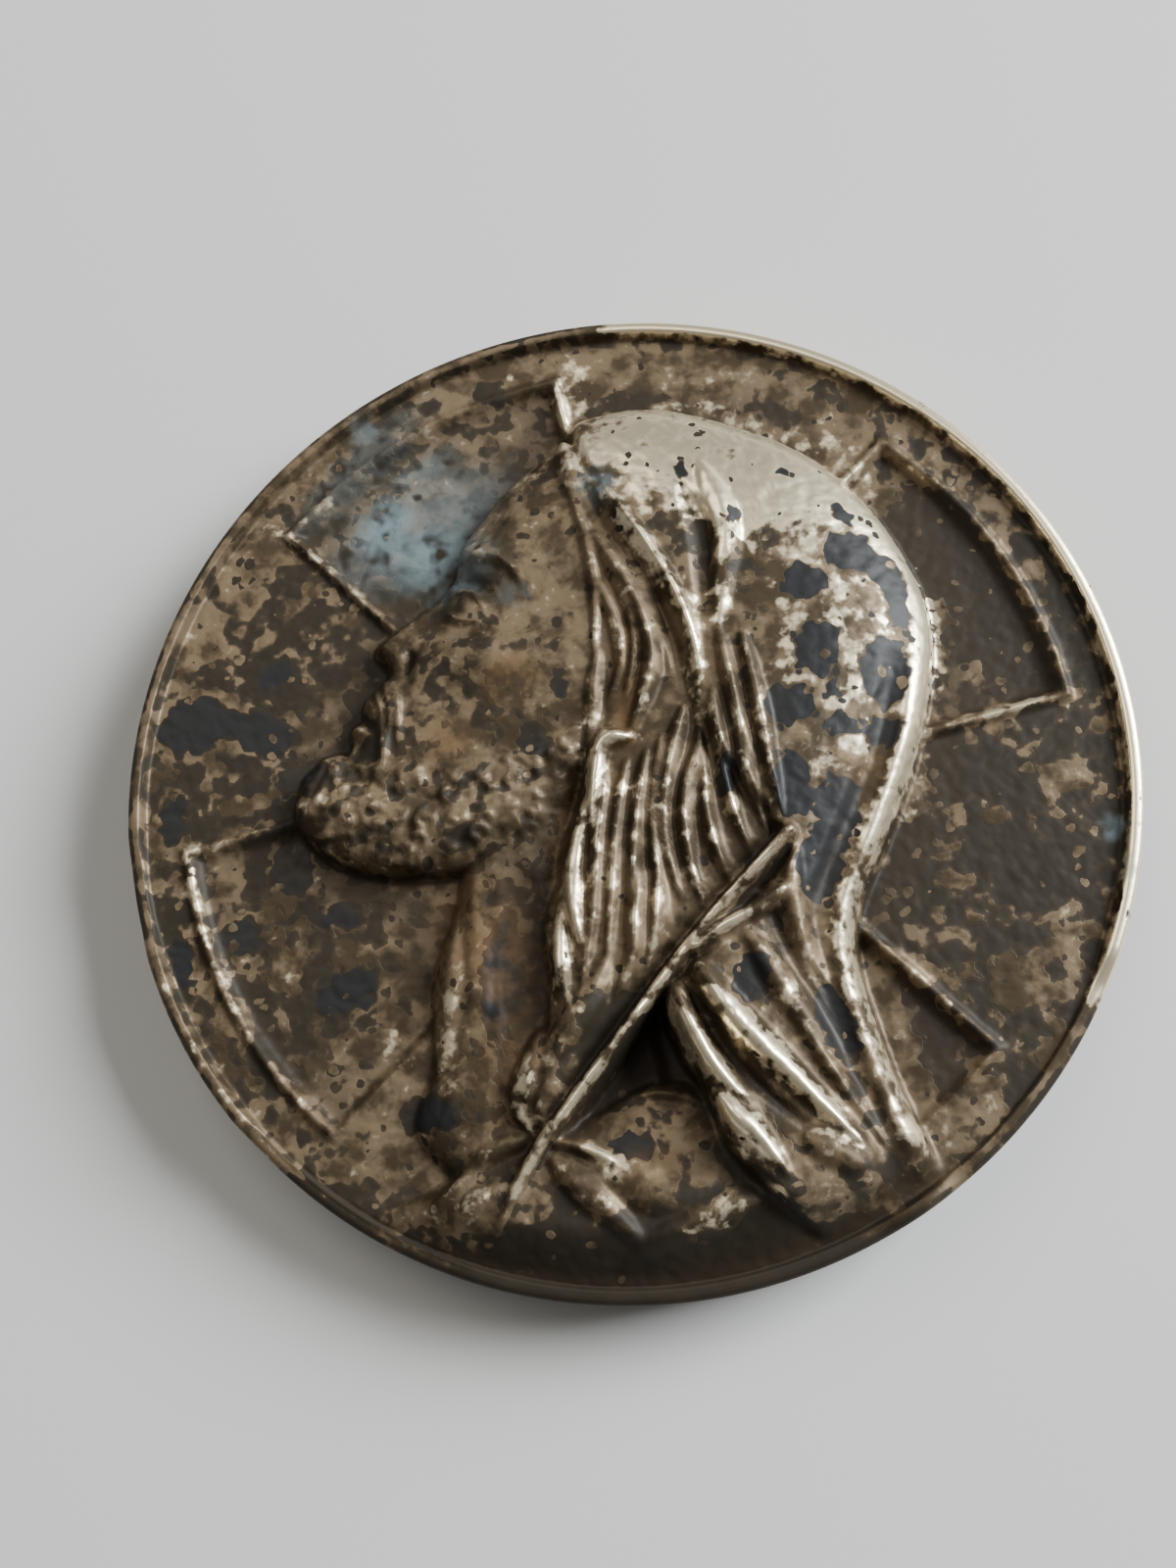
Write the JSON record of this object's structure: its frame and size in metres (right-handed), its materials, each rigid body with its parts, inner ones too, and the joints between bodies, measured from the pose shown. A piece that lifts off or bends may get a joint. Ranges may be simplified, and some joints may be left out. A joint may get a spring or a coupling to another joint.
{
  "type": "religious medal pendant",
  "caption": "Round struck medal with a hooded bearded head in profile before a cross nimbus, a raised lip and a hollow back with a low hanging bail.",
  "frame": {"origin": "middle of the medal's back, on the surface that it rests on", "axes": "+Z out of the struck face, +Y to the top of the medal as it hangs, +X to the viewer's right"},
  "size_m": [0.028, 0.028, 0.0045],
  "materials": {
    "tarnished_silver": "silver plate over yellow metal, tarnished brown and black in the recesses, rubbed bright on the crests, with a few spots of verdigris"
  },
  "bodies": {
    "root": {"struck_medal": "tarnished_silver"}
  },
  "joints": []
}
